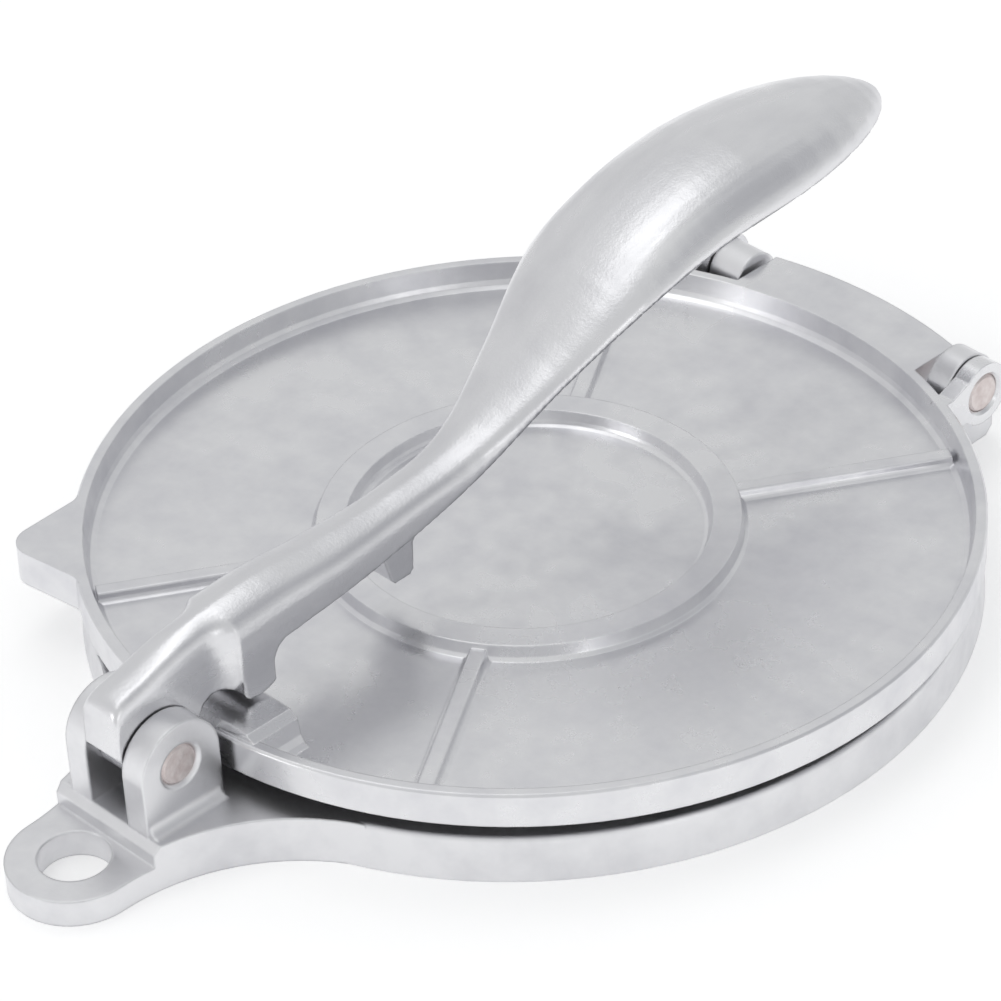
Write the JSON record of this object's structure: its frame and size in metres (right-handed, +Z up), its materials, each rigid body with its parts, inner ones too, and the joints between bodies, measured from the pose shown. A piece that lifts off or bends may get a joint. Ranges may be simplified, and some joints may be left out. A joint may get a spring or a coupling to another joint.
{
  "type": "tortilla press",
  "caption": "Hand press with a round base, a hinged ribbed top plate and a long crested lever whose heel pushes the plate down.",
  "frame": {"origin": "centre of the base disc's underside, on the table", "axes": "+Z up, +Y from the lever's pin to the hinge, +X to the right seen from the lever's pin"},
  "size_m": [0.2, 0.2604, 0.0882],
  "materials": {
    "base_casting": "satin",
    "plate_casting": "satin",
    "lever_casting": "polished",
    "pins": "satin"
  },
  "bodies": {
    "base": {"base": "base_casting", "lever_pin": "pins", "hinge_pin_left": "pins", "hinge_pin_right": "pins"},
    "top_plate": {"top_plate": "plate_casting"},
    "lever": {"lever": "lever_casting"}
  },
  "joints": [
    {"name": "lever_pivot", "type": "hinge", "parent": "base", "child": "lever", "pos_m": [0, -0.112, 0.0244], "axis": [1, 0, 0], "range_deg": [-7, 100]},
    {"name": "plate_hinge", "type": "hinge", "parent": "base", "child": "top_plate", "pos_m": [0, 0.103, 0.0168], "axis": [-1, 0, 0], "range_deg": [-1, 98]}
  ],
  "couplings": [
    {"joint": "plate_hinge", "follows": "lever_pivot", "ratio": 0.1}
  ]
}
